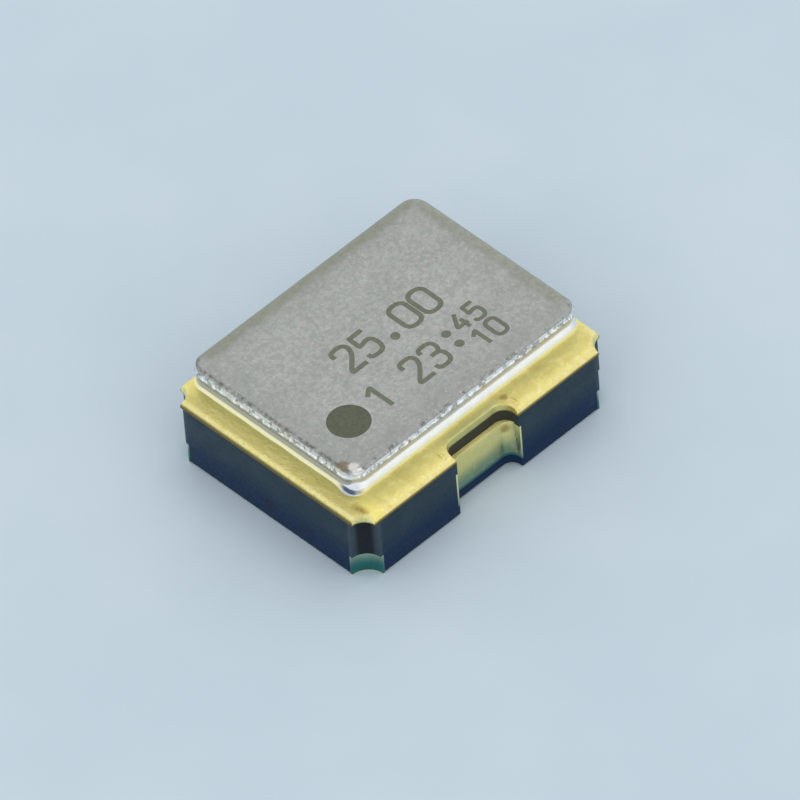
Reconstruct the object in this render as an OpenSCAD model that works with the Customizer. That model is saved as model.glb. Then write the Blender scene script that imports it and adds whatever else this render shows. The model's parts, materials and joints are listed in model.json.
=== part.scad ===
// Surface-mount crystal oscillator in a lidded multilayer ceramic package. Millimetres.
// The origin is the centre of the mounting plane, under the four solder terminals, and +Z is up.
// X runs along the long sides. Terminal 1, under the index dot of the lid, is at -X, -Y.

/* [Ceramic package] */
// Length of the package along X
package_l = 2.02; // [2.0:0.01:2.2]
// Width of the package along Y
package_w = 1.6; // [1.58:0.01:1.9]
// Thickness of the lowest ceramic sheet
base_sheet_t = 0.063; // [0.05:0.001:0.12]
// Thickness of the sheet that is the floor of the cavity
floor_sheet_t = 0.075; // [0.05:0.001:0.15]
// Height of the wall round the chip, up to the shelf for the crystal
chip_wall_t = 0.12; // [0.115:0.005:0.2]
// Height of the wall round the crystal, up to the ledges in the side slots
crystal_wall_t = 0.07; // [0.05:0.005:0.12]
// Thickness of the top sheet, which is bare in the side slots
top_sheet_t = 0.09; // [0.08:0.005:0.2]
// Radius of the inner corners of the cavity
cavity_r = 0.08; // [0.04:0.01:0.12]

/* [Corner notches and side slots] */
// Radius of the bare corner notches in the upper sheets
notch_r = 0.115; // [0.09:0.005:0.13]
// Radius of the plated corner notches in the two lowest sheets
base_notch_r = 0.14; // [0.12:0.005:0.17]
// Length of the side slots in the top sheet, along X
slot_l = 0.5; // [0.4:0.01:0.6]
// Depth of the side slots in the top sheet
slot_d = 0.12; // [0.11:0.005:0.14]
// Length of the plated side slots in the sheets below it
plated_slot_l = 0.53; // [0.4:0.01:0.6]
// Depth of the plated side slots, which leaves a ledge under the top sheet
plated_slot_d = 0.1; // [0.095:0.005:0.105]
// Radius of the inner corners of the side slots
slot_r = 0.08; // [0.05:0.005:0.09]

/* [Plating] */
// Thickness of the solder terminals
terminal_t = 0.012; // [0.008:0.001:0.02]
// Thickness of the plating in the corner notches and the side slots
plating_t = 0.012; // [0.008:0.001:0.02]
// Thickness of the conductors on the ceramic inside the package
track_t = 0.008; // [0.005:0.001:0.012]
// Radius of the filled via holes
via_r = 0.03; // [0.02:0.005:0.035]

/* [Solder terminals] */
// Length of each terminal along X
terminal_l = 0.66; // [0.58:0.01:0.7]
// Width of each terminal along Y
terminal_w = 0.5; // [0.44:0.01:0.56]
// Distance from the terminals to the sides of the package
terminal_inset = 0.03; // [0.01:0.005:0.04]
// Radius of the corners of the terminals
terminal_r = 0.04; // [0.02:0.01:0.08]
// Length of the chamfer that marks terminal 1
index_chamfer = 0.1; // [0.06:0.01:0.13]

/* [Seal ring and braze] */
// Thickness of the seal ring
ring_t = 0.05; // [0.03:0.005:0.08]
// Radius of the rounded outer edge of the seal ring
ring_edge_r = 0.022; // [0.01:0.002:0.028]
// Radius of the corner notches of the seal ring
ring_notch_r = 0.095; // [0.08:0.005:0.13]
// Width by which the opening of the seal ring clears the cavity
ring_setback = 0.01; // [0:0.005:0.03]
// Thickness of the braze, and radius of its concave foot
braze_t = 0.02; // [0.012:0.002:0.03]

/* [Lid] */
// Length of the lid along X
lid_l = 1.865; // [1.8:0.005:1.88]
// Width of the lid along Y
lid_w = 1.385; // [1.34:0.005:1.395]
// Thickness of the lid
lid_t = 0.13; // [0.08:0.005:0.2]
// Radius of the corners of the lid in plan
lid_r = 0.11; // [0.075:0.005:0.2]
// Radius of the rounded upper edge of the lid
lid_edge_r = 0.04; // [0.02:0.005:0.07]
// Distance by which the lid sits off centre along X
lid_shift_x = 0.066; // [0:0.001:0.07]
// Distance by which the lid sits off centre along Y
lid_shift_y = 0.1; // [0:0.001:0.102]

/* [Crystal] */
// Length of the quartz blank along X
crystal_l = 1.28; // [1.2:0.01:1.34]
// Width of the quartz blank along Y
crystal_w = 0.8; // [0.72:0.01:0.84]
// Thickness of the quartz blank, which sets its frequency
crystal_t = 0.083; // [0.06:0.001:0.1]
// Gap between the ends of the blank and the cavity wall
crystal_gap_l = 0.1; // [0.06:0.01:0.12]
// Gap between the long sides of the blank and the cavity wall
crystal_gap_w = 0.06; // [0.04:0.01:0.08]
// Length of the electrodes along X
electrode_l = 0.7; // [0.5:0.01:0.8]
// Width of the electrodes along Y
electrode_w = 0.54; // [0.4:0.01:0.6]
// Thickness of the electrode films
film_t = 0.004; // [0.002:0.001:0.006]
// Width of the electrode leads
lead_w = 0.16; // [0.1:0.01:0.2]
// Length of the contact patches under the fixed end of the blank
contact_l = 0.15; // [0.1:0.01:0.16]
// Distance from the middle of the blank to its leads and adhesive dots, along Y
lead_y = 0.25; // [0.2:0.01:0.26]
// Thickness of the adhesive dots
dot_t = 0.02; // [0.015:0.001:0.03]
// Radius of the adhesive dots
dot_r = 0.05; // [0.03:0.005:0.055]
// Length of the mounting pads along X
pad_l = 0.22; // [0.2:0.005:0.23]
// Width of the mounting pads along Y
pad_w = 0.28; // [0.18:0.01:0.3]
// Distance from the cavity wall to the mounting pads
pad_inset = 0.03; // [0.01:0.005:0.04]

/* [Chip] */
// Length of the chip along X
chip_l = 0.86; // [0.76:0.01:0.96]
// Width of the chip along Y
chip_w = 0.62; // [0.54:0.01:0.7]
// Thickness of the chip
chip_t = 0.08; // [0.05:0.005:0.08]
// Gap between the chip and the wall of its cavity
chip_gap = 0.07; // [0.05:0.005:0.08]
// Length of the shelf that carries the fixed end of the crystal
shelf_l = 0.27; // [0.265:0.005:0.32]
// Height of the bumps under the chip
bump_t = 0.02; // [0.015:0.001:0.025]
// Radius of the bumps under the chip
bump_r = 0.025; // [0.015:0.005:0.03]
// Distance between neighbouring bumps along X
bump_pitch_x = 0.32; // [0.28:0.01:0.33]
// Distance between the two rows of bumps
bump_pitch_y = 0.44; // [0.4:0.01:0.46]
// Width of a corner land round the centres of its bump and its via
land_border = 0.05; // [0.04:0.005:0.06]
// Distance from the inner edges of each terminal to its via
via_inset = 0.1; // [0.09:0.005:0.12]
// Width of the tracks from the chip to the crystal
track_w = 0.06; // [0.04:0.01:0.08]
// Distance from the middle of the chip to the inner edges of those tracks, along Y
track_y = 0.05; // [0.04:0.01:0.06]
// Distance from the via that earths the lid to the sides of the package
ground_via_inset = 0.16; // [0.14:0.01:0.18]

/* [Hidden] */
$fn = 48;
eps = 0.01;  // length by which a cutter overshoots a face that it passes through

base_top = terminal_t + base_sheet_t;
floor_z = base_top + floor_sheet_t;
shelf_z = floor_z + chip_wall_t;
ledge_z = shelf_z + crystal_wall_t;
ceramic_top = ledge_z + top_sheet_t;
ring_top = ceramic_top + ring_t;
lid_z = ring_top + braze_t;

cavity_l = crystal_l + 2 * crystal_gap_l;
cavity_w = crystal_w + 2 * crystal_gap_w;
chip_cavity_l = chip_l + 2 * chip_gap;
chip_cavity_w = chip_w + 2 * chip_gap;
chip_x = -cavity_l / 2 + shelf_l + chip_cavity_l / 2;

pad_x = -cavity_l / 2 + pad_inset + pad_l / 2;
dot_z = shelf_z + track_t;
crystal_z = dot_z + dot_t + film_t;
dot_x = -crystal_l / 2 + contact_l / 2;
bump_z = floor_z + track_t;
chip_z = bump_z + bump_t;
via_x = package_l / 2 - terminal_inset - terminal_l + via_inset;
via_y = package_w / 2 - terminal_inset - terminal_w + via_inset;

// ---- Outlines in plan ----

module rounded_rect(l, w, r) {
    square([l, w - 2 * r], center = true);
    square([l - 2 * r, w], center = true);
    for (x = [-1, 1], y = [-1, 1])
        translate([x * (l / 2 - r), y * (w / 2 - r)]) circle(r);
}

module package_rect() {
    square([package_l, package_w], center = true);
}

module at_package_corners() {
    for (x = [-1, 1], y = [-1, 1])
        translate([x * package_l / 2, y * package_w / 2]) children();
}

module at_long_sides() {
    for (y = [-1, 1]) translate([0, y * package_w / 2]) children();
}

// A side slot is the inner half of a rounded rectangle centred on the side of the package.
module slot_outline(l, d, inset = 0) {
    rounded_rect(l - 2 * inset, 2 * (d - inset), slot_r - inset);
}

// Package outline with corner notches of radius r, less its side slots in the child.
module sheet_outline(r) {
    difference() {
        package_rect();
        at_package_corners() circle(r);
        at_long_sides() children();
    }
}

// ---- Edge sections: each spans $reach to both sides of its middle line ----

module rounded_section(t, r) {
    intersection() {
        translate([-$reach, 0]) square([2 * $reach, t]);
        union() {
            translate([-$reach, 0]) square([2 * $reach, t - r]);
            translate([r - $reach, 0]) square([2 * ($reach - r), t]);
            for (s = [-1, 1]) translate([s * ($reach - r), t - r]) circle(r);
        }
    }
}

module flared_section(t, r) {
    translate([-$reach, 0]) square([2 * $reach, t]);
    for (s = [-1, 1]) difference() {
        translate([s * ($reach + r / 2), t - r / 2]) square(r, center = true);
        translate([s * ($reach + r), t - r]) circle(r);
    }
}

module footed_section(t) {
    translate([0, t]) mirror([0, 1]) flared_section(t, t);
}

// Turns the section in its child about Z, for a round part of radius r.
module turned(r, t) {
    rotate_extrude() intersection() {
        let ($reach = r) children();
        square([2 * r + t, t]);
    }
}

// Carries the section in its child round a rounded rectangle, and fills what is inside.
module swept_plate(l, w, r, t) {
    rotate([90, 0, 90]) linear_extrude(l - 2 * r, center = true) let ($reach = w / 2) children();
    rotate([90, 0, 0]) linear_extrude(w - 2 * r, center = true) let ($reach = l / 2) children();
    for (x = [-1, 1], y = [-1, 1])
        translate([x * (l / 2 - r), y * (w / 2 - r), 0]) turned(r, t) children();
}

// Flat dot with a bulging rim, as of squeezed paste or a flattened bump.
module bulged_dot(r, t) {
    cylinder(h = t, r = r);
    translate([0, 0, t / 2]) rotate_extrude() translate([r, 0]) circle(t / 2);
}

// ---- Package ----

module via_column(x, y, z0, z1) {
    translate([x, y, z0]) cylinder(h = z1 - z0, r = via_r);
}

module base_via_columns() {
    for (x = [-1, 1], y = [-1, 1]) via_column(x * via_x, y * via_y, terminal_t, floor_z);
}

module ground_column() {
    via_column(package_l / 2 - ground_via_inset, ground_via_inset - package_w / 2,
               terminal_t, ceramic_top);
}

// Plan of the corner land that joins a bump to its via. x and y give the corner, as -1 or 1.
module corner_land(x, y) {
    bump = [chip_x + x * bump_pitch_x, y * bump_pitch_y / 2];
    via = [x * via_x, y * via_y];
    size = [abs(via.x - bump.x), abs(via.y - bump.y)] + 2 * land_border * [1, 1];
    translate((bump + via) / 2) square(size, center = true);
}

module corner_lands() {
    translate([0, 0, floor_z]) linear_extrude(track_t)
        for (x = [-1, 1], y = [-1, 1]) corner_land(x, y);
}

// Land of a crystal bump, and its track under the shelf up to the mounting pad, on one side.
module crystal_feed(side) {
    land_edge = bump_pitch_y / 2 + track_w;
    translate([0, 0, floor_z]) linear_extrude(track_t) scale([1, side]) {
        translate([chip_x - track_w, track_y]) square([2 * track_w, land_edge - track_y]);
        translate([pad_x - track_w / 2, track_y]) square([chip_x - pad_x, track_w]);
        translate([pad_x - track_w / 2, track_y]) square([track_w, lead_y - track_y]);
    }
    via_column(pad_x, side * lead_y, floor_z, shelf_z);
}

module ceramic_body() {
    translate([0, 0, terminal_t]) linear_extrude(base_sheet_t)
        sheet_outline(base_notch_r) slot_outline(plated_slot_l, plated_slot_d, plating_t);
    translate([0, 0, base_top]) linear_extrude(floor_sheet_t)
        sheet_outline(base_notch_r) slot_outline(plated_slot_l, plated_slot_d);
    translate([0, 0, floor_z]) linear_extrude(chip_wall_t + crystal_wall_t)
        sheet_outline(notch_r) slot_outline(plated_slot_l, plated_slot_d);
    translate([0, 0, ledge_z]) linear_extrude(top_sheet_t)
        sheet_outline(notch_r) slot_outline(slot_l, slot_d);
}

module ceramic_package() {
    color("#232b33") difference() {
        ceramic_body();
        translate([0, 0, shelf_z]) linear_extrude(ceramic_top - shelf_z + eps)
            rounded_rect(cavity_l, cavity_w, cavity_r);
        translate([chip_x, 0, floor_z]) linear_extrude(chip_wall_t + eps)
            rounded_rect(chip_cavity_l, chip_cavity_w, cavity_r);
        base_via_columns();
        ground_column();
        corner_lands();
        for (side = [-1, 1]) crystal_feed(side);
    }
}

// ---- Plating on the package ----

module seal_ring() {
    color("#d6c46a") translate([0, 0, ceramic_top]) difference() {
        intersection() {
            rotate([90, 0, 0]) linear_extrude(package_w, center = true)
                let ($reach = package_l / 2) rounded_section(ring_t, ring_edge_r);
            rotate([90, 0, 90]) linear_extrude(package_l, center = true)
                let ($reach = package_w / 2) rounded_section(ring_t, ring_edge_r);
        }
        at_package_corners() turned(ring_notch_r, ring_t) flared_section(ring_t, ring_edge_r);
        at_long_sides() swept_plate(slot_l, 2 * slot_d, slot_r, ring_t)
            flared_section(ring_t, ring_edge_r);
        linear_extrude(3 * ring_t, center = true)
            rounded_rect(cavity_l + 2 * ring_setback, cavity_w + 2 * ring_setback,
                         cavity_r + ring_setback);
    }
}

// Solder pad with the plating of its corner notch. x and y give the corner, as -1 or 1.
module terminal(x, y, chamfer) {
    color("#cdb45a") difference() {
        union() {
            linear_extrude(terminal_t) difference() {
                translate([x * (package_l / 2 - terminal_inset - terminal_l / 2),
                           y * (package_w / 2 - terminal_inset - terminal_w / 2)])
                    rounded_rect(terminal_l, terminal_w, terminal_r);
                if (chamfer > 0)
                    translate([x * (package_l / 2 - terminal_inset - terminal_l),
                               y * (package_w / 2 - terminal_inset - terminal_w)])
                        rotate(45) square(chamfer * sqrt(2), center = true);
            }
            linear_extrude(floor_z) intersection() {
                package_rect();
                translate([x * package_l / 2, y * package_w / 2]) circle(base_notch_r);
            }
        }
        translate([x * package_l / 2, y * package_w / 2, -eps])
            cylinder(h = floor_z + 2 * eps, r = base_notch_r - plating_t);
    }
}

// Plating in the side slot at y = -1 or 1, with a lip over the ledge under the top sheet.
module side_contact(y) {
    color("#cdb45a") intersection() {
        linear_extrude(ceramic_top) package_rect();
        translate([0, y * package_w / 2]) difference() {
            union() {
                translate([0, 0, base_top]) linear_extrude(ledge_z - base_top)
                    slot_outline(plated_slot_l, plated_slot_d);
                translate([0, 0, ledge_z]) linear_extrude(plating_t) slot_outline(slot_l, slot_d);
            }
            linear_extrude(ceramic_top) slot_outline(plated_slot_l, plated_slot_d, plating_t);
        }
    }
}

// ---- Lid ----

module braze_frame() {
    color("#d8d8d4") difference() {
        intersection() {
            translate([lid_shift_x, lid_shift_y, ring_top])
                swept_plate(lid_l, lid_w, lid_r, braze_t) footed_section(braze_t);
            translate([0, 0, ring_top]) linear_extrude(braze_t) difference() {
                square([package_l - 2 * ring_edge_r, package_w - 2 * ring_edge_r], center = true);
                at_package_corners() circle(ring_notch_r + ring_edge_r);
                at_long_sides() slot_outline(slot_l, slot_d, -ring_edge_r);
            }
        }
        translate([0, 0, ring_top - eps]) linear_extrude(braze_t + 2 * eps)
            rounded_rect(cavity_l + 2 * ring_setback, cavity_w + 2 * ring_setback,
                         cavity_r + ring_setback);
    }
}

module lid() {
    color("#a9a9a7") translate([lid_shift_x, lid_shift_y, lid_z])
        swept_plate(lid_l, lid_w, lid_r, lid_t) rounded_section(lid_t, lid_edge_r);
}

// ---- Crystal ----

module crystal_blank() {
    color("#dfe8ea") translate([-crystal_l / 2, -crystal_w / 2, crystal_z])
        cube([crystal_l, crystal_w, crystal_t]);
}

// Electrode film with its lead to the fixed end, drawn in plan.
module electrode_outline(side) {
    rounded_rect(electrode_l, electrode_w, lead_w / 2);
    translate([-crystal_l / 2, side * lead_y - lead_w / 2]) square([crystal_l / 2, lead_w]);
}

module bottom_electrode() {
    color("#e3cf7c") translate([0, 0, crystal_z - film_t]) linear_extrude(film_t)
        electrode_outline(-1);
}

// The lead of the upper film folds over the fixed end and ends under the blank.
module top_electrode() {
    color("#e3cf7c") {
        translate([0, 0, crystal_z + crystal_t]) linear_extrude(film_t) electrode_outline(1);
        translate([-crystal_l / 2 - film_t, lead_y - lead_w / 2, crystal_z - film_t])
            cube([film_t, lead_w, crystal_t + 2 * film_t]);
        translate([-crystal_l / 2 - film_t, lead_y - lead_w / 2, crystal_z - film_t])
            cube([contact_l + film_t, lead_w, film_t]);
    }
}

module adhesive_dot(side) {
    color("#b9b9b2") translate([dot_x, side * lead_y, dot_z]) bulged_dot(dot_r, dot_t);
}

module crystal_pad(side) {
    color("#d6c46a") translate([pad_x, side * lead_y, shelf_z]) linear_extrude(track_t)
        rounded_rect(pad_l, pad_w, terminal_r);
}

// ---- Chip ----

module chip() {
    color("#4a5058") translate([chip_x - chip_l / 2, -chip_w / 2, chip_z])
        cube([chip_l, chip_w, chip_t]);
}

module chip_bumps() {
    color("#e3cf7c") for (x = [-1, 0, 1], y = [-1, 1])
        translate([chip_x + x * bump_pitch_x, y * bump_pitch_y / 2, bump_z])
            bulged_dot(bump_r, bump_t);
}

module chip_lands() {
    color("#d6c46a") corner_lands();
}

module base_vias() {
    color("#8a8a8a") base_via_columns();
}

module lid_ground_via() {
    color("#8a8a8a") ground_column();
}

ceramic_package();
seal_ring();
braze_frame();
lid();
terminal(-1, -1, index_chamfer);  // terminal_enable
terminal(1, -1, 0);  // terminal_ground
terminal(1, 1, 0);  // terminal_output
terminal(-1, 1, 0);  // terminal_supply
side_contact(-1);  // side_contact_front
side_contact(1);  // side_contact_back
crystal_blank();
top_electrode();
bottom_electrode();
adhesive_dot(-1);  // adhesive_front
adhesive_dot(1);  // adhesive_back
crystal_pad(-1);  // crystal_pad_front
crystal_pad(1);  // crystal_pad_back
color("#8a8a8a") crystal_feed(-1);  // crystal_feed_front
color("#8a8a8a") crystal_feed(1);  // crystal_feed_back
chip();
chip_bumps();
chip_lands();
base_vias();
lid_ground_via();
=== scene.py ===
"""Looks of the surface-mount crystal oscillator. The frame gives its solids, and lengths here are in mm."""
import json
import math
from types import SimpleNamespace

import bmesh
import bpy
from mathutils import Matrix, Vector, geometry, noise


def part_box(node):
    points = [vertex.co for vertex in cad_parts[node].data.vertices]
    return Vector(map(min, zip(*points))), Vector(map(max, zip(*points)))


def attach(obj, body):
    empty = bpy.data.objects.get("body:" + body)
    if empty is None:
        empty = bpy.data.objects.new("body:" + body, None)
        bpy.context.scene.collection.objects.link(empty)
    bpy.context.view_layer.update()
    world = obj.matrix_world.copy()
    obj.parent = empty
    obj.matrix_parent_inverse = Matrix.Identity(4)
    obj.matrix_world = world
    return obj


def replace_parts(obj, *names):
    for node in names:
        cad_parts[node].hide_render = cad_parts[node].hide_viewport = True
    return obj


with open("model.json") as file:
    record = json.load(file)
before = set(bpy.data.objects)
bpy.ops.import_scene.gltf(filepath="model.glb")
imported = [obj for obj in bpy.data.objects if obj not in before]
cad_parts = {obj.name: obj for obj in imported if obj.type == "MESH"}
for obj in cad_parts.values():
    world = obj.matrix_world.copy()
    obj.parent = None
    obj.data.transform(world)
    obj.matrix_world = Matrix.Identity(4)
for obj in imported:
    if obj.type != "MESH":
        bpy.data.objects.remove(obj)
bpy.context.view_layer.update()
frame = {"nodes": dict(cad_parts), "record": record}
MM = 0.001

# Camera: where it looks from, how it is turned, and what it takes in
AZIMUTH, ELEVATION, ROLL = -41.2, 46.28, -4.96  # degrees
AIM = Vector((0.0972, 0.0444, 0.0931))
DISTANCE = 155.0
VIEW_WIDTH = 4.632
SENSOR = 36.0

# Lamp over the part, besides the even light of the studio
LAMP_PLACE = Vector((22, -8, 55))
LAMP_SIZE = 40
LAMP_POWER = 0.0014  # watts

# Forms that the frame's boxes don't give
SLOT_L, SLOT_D, SLOT_R = 0.5, 0.12, 0.08  # slot in each long side, and the radius of its corners
RING_NOTCH_R, NOTCH_R = 0.095, 0.115      # corner notches of the ring, and of the ceramic under it
RIM_DEPTH, RIM_HEIGHT = 0.022, 0.047      # rolled outer rim of the ring
SLOT_RIM, SLOT_CROWN = 0.35, 0.4          # share of the rim's depth, and of the crown's, that the slots have
CROWN_DEPTH, CROWN_FALL = 0.15, 0.027     # fall of the ring's front strip towards its rim
OPENING = Vector((0.75, 0.47))            # half the opening of the ring
OPENING_R = 0.09
LID_R = 0.11                              # corners of the lid in plan
EDGE_R, WELD_EDGE_R = 0.038, 0.028        # rolled edge of the lid, plain and along its weld
TOP_SINK = 0.0025                         # depth of the flat of the lid under the top of its box
FLAT_STEP = 0.009                         # between the outlines on the flat, where the pits are
MARK_LIFT = 0.0005                        # height of the marking over the metal
CONTACT_SOFT, PACK_SOFT = 0.005, 0.007    # rounding of the sharp edges of CAD solids
PLAIN_AREA = 0.02                         # a face of a CAD solid over this size, in square mm, is flat

# Weld along the front and left sides of the lid
WELD_STRIP = 0.14                         # width of the strip that it has changed
WELD_SINK = 0.012                         # how far the plain wall lies behind the melted beads
FRONT_PITCH, LEFT_PITCH = 0.07, 0.055     # from bead to bead
FRONT_ROW, LEFT_ROW = 0.084, 0.074        # height of the row of beads over the foot of the lid
BEAD_SPREAD = 0.012                       # how fast a bead, or a pit, fades away from its middle
TRACK_LOW, TRACK_HIGH = 0.066, 0.11       # strip of melted metal, as heights over the foot of the lid
WALL_TOP = 0.063                          # top of the plain wall under it
CREASE_LOW = 0.042                        # foot of the crease in that wall, along the front
SHADE_LOW, SHADE_HIGH = 0.04, 0.056       # dark shade on that wall, on the left
PIT_INSET, PIT_DEPTH = 0.034, 0.005       # pits burnt into the flat behind the beads

# Fillet of braze along the foot of the lid, and what the front and the blob at its corner add to it
BRAZE_HEIGHT, FRONT_HEIGHT, BLOB_HEIGHT = 0.022, 0.034, 0.02
BRAZE_SPREAD, FRONT_SPREAD, BLOB_SPREAD = 0.018, 0.01, 0.026
HEIGHT_FLOW, SPREAD_FLOW = 0.004, 0.003   # how much they wander
BRAZE_LAP = 0.002                         # how far it goes in behind the plain wall of the lid
BLOB_PLACE = Vector((0.0215, 0.0575))     # from the front left corner of the lid
BLOB_REACH = 0.07


def box(node):
    """Lowest and highest corner of a CAD node, in mm."""
    low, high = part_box(node)
    return Vector(low) / MM, Vector(high) / MM


PACK_LOW, PACK_HIGH = box("ceramic_package")
RING_LOW, RING_HIGH = box("seal_ring")
LID_LOW, LID_HIGH = box("lid")
BRAZE_FOOT = box("braze_frame")[0].z
CONTACT_TOP = box("side_contact_front")[1].z
LID_MID = (LID_LOW + LID_HIGH) / 2
LID_HALF = (LID_HIGH - LID_LOW) / 2
BLOB = LID_LOW.xy + BLOB_PLACE
HALF_L, HALF_W = PACK_HIGH.x, PACK_HIGH.y


# ---- Materials ----

def rgb(r, g, b):
    """A colour given as on screen, 0 to 255, in linear light."""
    def linear(v):
        v /= 255
        return v / 12.92 if v <= 0.04045 else ((v + 0.055) / 1.055) ** 2.4
    return (linear(r), linear(g), linear(b), 1.0)


def socket_name(key):
    """Name of a socket of the Principled shader, from a keyword."""
    return key.replace("_", " ").title().replace("Ior", "IOR")


class Graph:
    """Node material with one Principled shader; textures are laid out in object space, in mm."""

    def __init__(self, name, **values):
        self.material = bpy.data.materials.new(name)
        self.material.use_nodes = True
        self.nodes = self.material.node_tree.nodes
        self.links = self.material.node_tree.links
        self.shader = self.nodes["Principled BSDF"]
        for key, value in values.items():
            self.shader.inputs[socket_name(key)].default_value = value
        place = self.nodes.new("ShaderNodeTexCoord")
        scale = self.nodes.new("ShaderNodeVectorMath")
        scale.operation = "SCALE"
        scale.inputs["Scale"].default_value = 1 / MM
        self.links.new(place.outputs["Object"], scale.inputs[0])
        self.place = scale.outputs[0]

    def put(self, socket, value):
        """Links another socket to this one, or sets this one to a plain value."""
        if isinstance(value, bpy.types.NodeSocket):
            self.links.new(value, socket)
        else:
            socket.default_value = value

    def node(self, kind, out=0, inputs=(), **settings):
        """A new node; gives one of its output sockets."""
        made = self.nodes.new(kind)
        for key, value in settings.items():
            setattr(made, key, value)
        for key, value in inputs:
            self.put(made.inputs[key], value)
        return made.outputs[out]

    def noise(self, scale, detail=3.0, roughness=0.55, stretch=None):
        """Cloudy noise round 0.5, with a scale in features per mm."""
        where = self.place
        if stretch:
            where = self.node("ShaderNodeVectorMath", inputs=((0, where), (1, stretch)), operation="MULTIPLY")
        return self.node("ShaderNodeTexNoise", inputs=(
            ("Vector", where), ("Scale", scale), ("Detail", detail), ("Roughness", roughness)))

    def cells(self, scale, out="Color"):
        """Voronoi cells, with a scale in cells per mm."""
        return self.node("ShaderNodeTexVoronoi", out, inputs=(("Vector", self.place), ("Scale", scale)))

    def math(self, operation, a, b=0.0, clamp=False):
        return self.node("ShaderNodeMath", inputs=((0, a), (1, b)), operation=operation, use_clamp=clamp)

    def times(self, *values):
        product = values[0]
        for value in values[1:]:
            product = self.math("MULTIPLY", product, value)
        return product

    def fade(self, value, start, end, low=0.0, high=1.0):
        """low where value is at start, high where it is at end, and smooth between."""
        return self.node("ShaderNodeMapRange", inputs=(
            ("Value", value), ("From Min", start), ("From Max", end), ("To Min", low), ("To Max", high)),
            interpolation_type="SMOOTHSTEP")

    def band(self, value, start, end, soft):
        """1 where value is between start and end, with soft borders."""
        after = self.fade(value, start - soft, start + soft)
        return self.times(after, self.fade(value, end + soft, end - soft))

    def mix(self, share, a, b):
        """Colour a with a share of colour b over it; a Mix node's colour sockets are 6, 7 and 2."""
        return self.node("ShaderNodeMix", 2, inputs=((0, share), (6, a), (7, b)), data_type="RGBA")

    def axis(self, name):
        return self.node("ShaderNodeSeparateXYZ", name, inputs=((0, self.place),))

    def over(self, name, level):
        """How far beyond a level along an axis, in mm."""
        return self.math("SUBTRACT", self.axis(name), level)

    def aside(self, name):
        """Distance from the middle of the part along an axis, in mm."""
        return self.math("ABSOLUTE", self.axis(name))

    def inset(self, middle, half, radius):
        """Depth inside the sides of a rounded rectangle in plan, in mm."""
        beyond = []
        for name, a, b in (("X", middle.x, half.x), ("Y", middle.y, half.y)):
            off = self.math("ABSOLUTE", self.over(name, a))
            beyond.append(self.math("SUBTRACT", off, b - radius))
        outer = [self.math("MAXIMUM", v, 0.0) for v in beyond]
        square = self.math("ADD", self.times(outer[0], outer[0]), self.times(outer[1], outer[1]))
        within = self.math("MINIMUM", self.math("MAXIMUM", *beyond), 0.0)
        return self.math("SUBTRACT", radius, self.math("ADD", self.math("SQRT", square), within))

    def from_corner(self):
        """Distance in plan from the nearest corner of the package, and its parts along X and Y."""
        gap = [self.math("SUBTRACT", half, self.aside(name)) for name, half in (("X", HALF_L), ("Y", HALF_W))]
        square = self.math("ADD", self.times(gap[0], gap[0]), self.times(gap[1], gap[1]))
        return self.math("SQRT", square), gap

    def near(self, point, reach, ragged=1.0):
        """1 at a point, falling to 0 at reach, with a ragged edge."""
        away = self.node("ShaderNodeVectorMath", "Value", inputs=((0, self.place), (1, point)),
                         operation="DISTANCE")
        rough = self.times(self.math("SUBTRACT", self.noise(28), 0.5), reach * ragged)
        return self.fade(self.math("ADD", away, rough), reach, 0.3 * reach)

    def bump(self, height, depth, strength=1.0, under=None):
        """Relief of a depth in mm, over the relief under it."""
        inputs = [("Height", height), ("Distance", depth * MM), ("Strength", strength)]
        if under is not None:
            inputs.append(("Normal", under))
        return self.node("ShaderNodeBump", inputs=inputs)

    def finish(self, **sockets):
        """Puts values into sockets of the shader, and gives the material."""
        for key, value in sockets.items():
            self.put(self.shader.inputs[socket_name(key)], value)
        return self.material


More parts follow.
